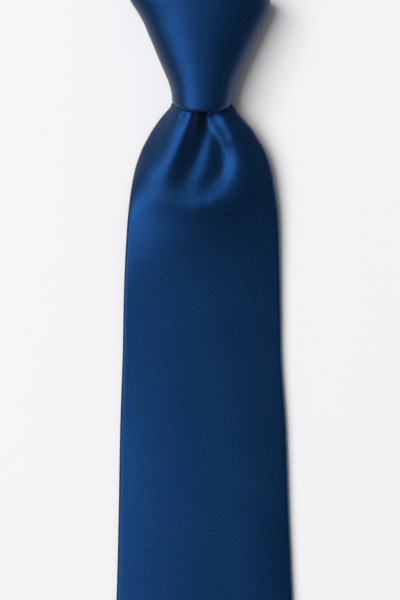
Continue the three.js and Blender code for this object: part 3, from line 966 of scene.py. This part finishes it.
def tail_flap(down):
    half = tail_width(down) / 2
    parting = np.clip((down - TAIL_BAR_TACK) / (TAIL_SHOULDER - TAIL_BAR_TACK), 0, 1)
    return (half + SEAM_OVERLAP) * (1 - parting) + min(7.0, half - 0.1) * parting


def tail_grid(downs):
    rows = []
    for down in downs:
        half = tail_width(down) / 2
        thick = min(THICK, 1.8 * half + 0.5)
        outline = envelope(half, half, tail_flap(down), BAND_FACE, 12, 7, thick)
        x, v = outline[:, 0], outline[:, 1]
        amount = 0.35 * (1 - float(smooth(down, 50, 110))) * float(smooth(down, -14, 6))
        crown = 0.35 * (1 - (x / half) ** 2) * (v / THICK)
        lift = v + crown + np.maximum(pleats(x, half, amount), 0) * (v / THICK)
        rows.append(np.stack([x, np.full_like(x, -down), lift + tail_level(down)], 1))
    return np.array(rows)


tail_rows = stretches(
    (-16, 54, 26), (54, 100, 32), (100, TAIL_SHOULDER - 1, 60), (TAIL_SHOULDER - 1, TAIL_TIP - 0.6, 26)
)
tail_cloth_grid = tail_grid(tail_rows)
tail = cloth("tail", tail_cloth_grid, SATIN)
at(0, -57, 0)
at(0, -68, 0)
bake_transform(tail)
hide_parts("tail_shell_upper", "tail_interlining_upper", "tail_shell_lower", "tail_interlining_lower")


def tail_lining_grid(downs):
    rows = []
    for down in downs:
        half = tail_width(down) / 2
        reach = max(min(half - tail_flap(down) + 3, half - 1.6), 0.5)
        x = np.linspace(-reach, reach, 17)
        rows.append(np.stack([x, np.full_like(x, -down), np.full_like(x, 0.85)], 1))
    return np.array(rows)


tail_lining_rows = stretches((TAIL_BAR_TACK + 6, TAIL_SHOULDER, 20), (TAIL_SHOULDER, TAIL_TIP - 6, 12))
tail_lining_mesh = tail_lining_grid(tail_lining_rows)
tail_lining = cloth("tail_lining", tail_lining_mesh, LINING, LINING_WALL)
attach(tail_lining, "tail_lower")
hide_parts("tail_tipping")

# ---- Stitches --------------------------------------------------------------------------------------------


def stitches(name, runs, radius, material, body, *nodes):
    """Short lengths of thread, each a run of points."""
    vertices, faces = [], []
    ring = np.linspace(0, 2 * math.pi, 8, endpoint=False)
    for run in runs:
        run = np.asarray(run, float)
        heading = unit(np.gradient(run, axis=0))
        side = unit(np.cross(heading, [0.3, 0.2, 1.0]))
        top = np.cross(side, heading)
        size = radius * np.sqrt(np.clip(1 - np.linspace(-1, 1, len(run)) ** 8, 0.05, 1))
        base = len(vertices)
        for k in range(len(run)):
            for a in ring:
                vertices.append(run[k] + (side[k] * math.cos(a) + top[k] * math.sin(a)) * size[k])
        for k in range(len(run) - 1):
            for j in range(8):
                n = (j + 1) % 8
                faces.append((base + k * 8 + j, base + k * 8 + n, base + k * 8 + 8 + n, base + k * 8 + 8 + j))
        faces.append(tuple(base + j for j in range(7, -1, -1)))
        faces.append(tuple(base + (len(run) - 1) * 8 + j for j in range(8)))
    obj = outward(make_object(name, np.array(vertices), faces, material))
    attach(obj, body)
    if nodes:
        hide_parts(*nodes)
    return obj


def back_height(x, down):
    return float(blade_face(np.array([x]), np.array([float(down)]))[0]) - THICK


BAR_STITCH_SPACING = 1.08
bar_runs = []
bar_down = BLADE_BAR_TACK - 4
for i in range(11):
    x = -5.4 + i * BAR_STITCH_SPACING
    z = back_height(x, bar_down)
    low, high = z - 0.42, z - 0.18
    bar_runs.append([(x - 0.3, -bar_down + 1.1, high), (x, -bar_down, low), (x + 0.3, -bar_down - 1.1, high)])
bar_runs.append([(x, -bar_down, back_height(x, bar_down) - 0.3) for x in np.linspace(-5.8, 5.8, 9)])
stitches("blade_bar_tack_thread", bar_runs, 0.24, THREAD, "front_blade_lower", "blade_bar_tack")

slip_runs = []
for i in range(5):
    down = 244.5 + i * 3.2
    bend = ((-4.4, down), (-4.75, down + 0.8), (-4.4, down + 1.6))
    slip_runs.append([(x, -d, back_height(x, d) - 0.12) for x, d in bend])
stitches("blade_slip_thread", slip_runs, 0.16, THREAD, "front_blade_lower", "blade_slip_stitch")

keeper_runs = []
for side in (-1, 1):
    for i in range(6):
        down, x = 191.2 + i * 1.9, side * 24.0
        z = back_height(x, down) - 0.98
        keeper_runs.append([(x - 0.5, -down, z), (x, -down, z - 0.1), (x + 0.5, -down, z)])
stitches("keeper_thread", keeper_runs, 0.16, THREAD, "front_blade_upper")

tail_bar_runs = []
tail_bar_y = -TAIL_BAR_TACK + 4
for i in range(8):
    x = -3.8 + i * BAR_STITCH_SPACING
    ends = (x - 0.25, tail_bar_y + 0.8, 0.12), (x + 0.25, tail_bar_y - 0.8, 0.12)
    tail_bar_runs.append([ends[0], (x, tail_bar_y, 0.14), ends[1]])
stitches("tail_bar_tack_thread", tail_bar_runs, 0.11, THREAD, "tail_lower")


# ---- Stage, light and camera -----------------------------------------------------------------------------

TABLE_VIEW = 246.0  # height of table that the camera sees
VIEW_CENTRE = (-1.35, -77.9)
CAMERA_HEIGHT = 1600.0


def area_light(name, direction, distance, width, height, power, color=(1, 1, 1)):
    data = bpy.data.lights.new(name, "AREA")
    data.shape = "RECTANGLE"
    data.size, data.size_y, data.energy, data.color = width, height, power, color
    light = bpy.data.objects.new(name, data)
    bpy.context.scene.collection.objects.link(light)
    toward = Vector(direction).normalized()
    light.location = at(*VIEW_CENTRE, 0) + toward * distance
    light.rotation_euler = toward.to_track_quat("Z", "Y").to_euler()
    return light


def stage():
    floor_mesh = bpy.data.meshes.new("floor")
    span = 6.0
    corners = [(-span, -span, 0), (span, -span, 0), (span, span, 0), (-span, span, 0)]
    floor_mesh.from_pydata(corners, [], [(0, 1, 2, 3)])
    floor = bpy.data.objects.new("floor", floor_mesh)
    bpy.context.scene.collection.objects.link(floor)
    floor.location.z = -0.0002
    material, tree, shader = new_material("floor_paper")
    shader.inputs["Base Color"].default_value = (0.86, 0.86, 0.87, 1)
    shader.inputs["Roughness"].default_value = 0.9
    shader.inputs["Specular IOR Level"].default_value = 0.1
    floor_mesh.materials.append(material)

    world = bpy.data.worlds.new("studio")
    world.use_nodes = True
    world.node_tree.nodes["Background"].inputs["Color"].default_value = (0.95, 0.95, 1.0, 1)
    world.node_tree.nodes["Background"].inputs["Strength"].default_value = 0.22
    bpy.context.scene.world = world
    area_light("key_left", (-0.55, 0.17, 0.8), 5.0, 4.2, 4.2, 316.0)

    camera_data = bpy.data.cameras.new("camera")
    camera_data.sensor_fit = "VERTICAL"
    camera_data.sensor_height = 36.0
    camera_data.lens = 36.0 * CAMERA_HEIGHT / TABLE_VIEW
    camera_data.clip_end = 50.0
    camera = bpy.data.objects.new("camera", camera_data)
    bpy.context.scene.collection.objects.link(camera)
    camera.location = at(*VIEW_CENTRE, CAMERA_HEIGHT)
    bpy.context.scene.camera = camera
    bpy.context.scene.view_settings.view_transform = "Standard"


stage()
